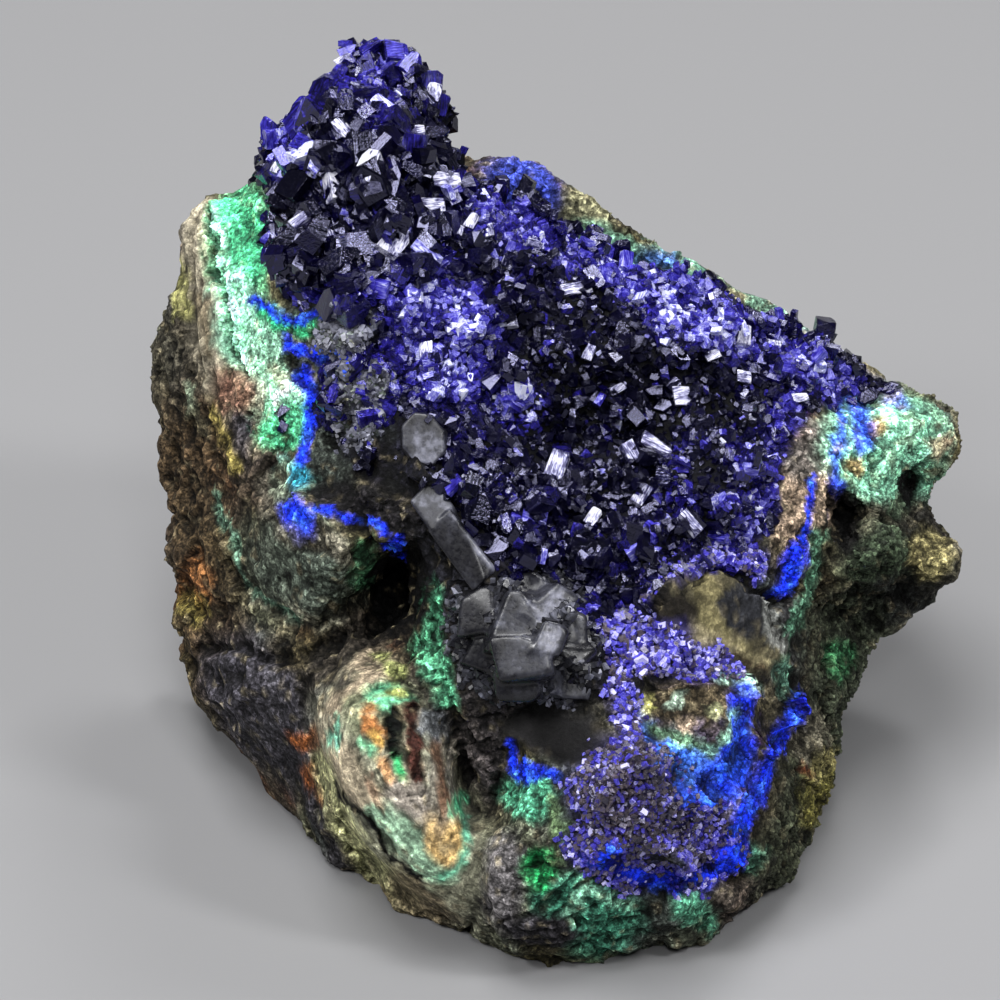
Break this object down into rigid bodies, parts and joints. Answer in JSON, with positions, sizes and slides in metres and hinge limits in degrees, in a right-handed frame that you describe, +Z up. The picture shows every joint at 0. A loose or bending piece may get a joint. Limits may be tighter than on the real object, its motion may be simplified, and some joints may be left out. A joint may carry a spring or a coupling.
{
  "type": "azurite mineral specimen",
  "caption": "Azurite crystals crowding a spire, a ridge and a hollow on a brown and grey rock, with malachite crusts and matte blue veins.",
  "frame": {"origin": "bottom centre of the specimen's box, on the flat broken base it stands on", "axes": "+Z up from the base, -Y the side that the crystal face looks towards, +X to the right of that face"},
  "size_m": [0.0818, 0.0816, 0.0694],
  "materials": {
    "matrix": "dull, rough, broken",
    "azurite": "glassy crystal faces",
    "grey_crystal": "cloudy, half glassy",
    "malachite": "dull, earthy crust"
  },
  "bodies": {
    "root": {"matrix_rock": "matrix", "azurite_main_crust": "azurite", "azurite_lower_crust": "azurite", "grey_crystal_cluster": "grey_crystal", "malachite_left_crust": "malachite", "malachite_wing": "malachite"}
  },
  "joints": []
}
